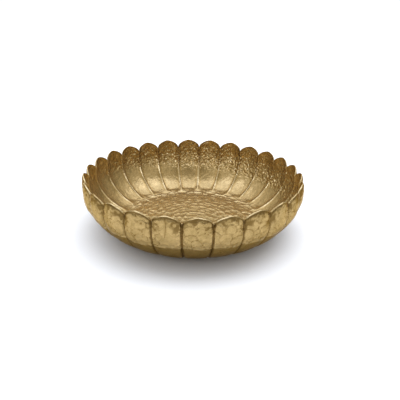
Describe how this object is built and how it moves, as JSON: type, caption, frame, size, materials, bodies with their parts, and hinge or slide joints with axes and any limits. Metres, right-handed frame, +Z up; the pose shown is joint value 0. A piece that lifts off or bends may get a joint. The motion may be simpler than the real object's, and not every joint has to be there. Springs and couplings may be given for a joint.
{
  "type": "urli bowl",
  "caption": "Wide shallow hammered brass bowl with a fluted wall, a scalloped petal rim and a flat base on felt pads, for floating flowers and candles.",
  "frame": {"origin": "on the bowl's axis, at the surface that the felt pads stand on", "axes": "+Z up along the bowl's axis; a groove between petals lies within 1.4 degrees of +X and of -X, and the middle of a petal within 1.4 degrees of +Y and of -Y, because the petals are spaced a little unevenly"},
  "size_m": [0.2985, 0.3004, 0.0805],
  "materials": {
    "brass": "hammered sheet, satin antique gold with darker hollows",
    "felt": "dense pressed wool felt"
  },
  "bodies": {
    "root": {"bowl_shell": "brass", "felt_pad_1": "felt", "felt_pad_2": "felt", "felt_pad_3": "felt", "felt_pad_4": "felt"}
  },
  "joints": []
}
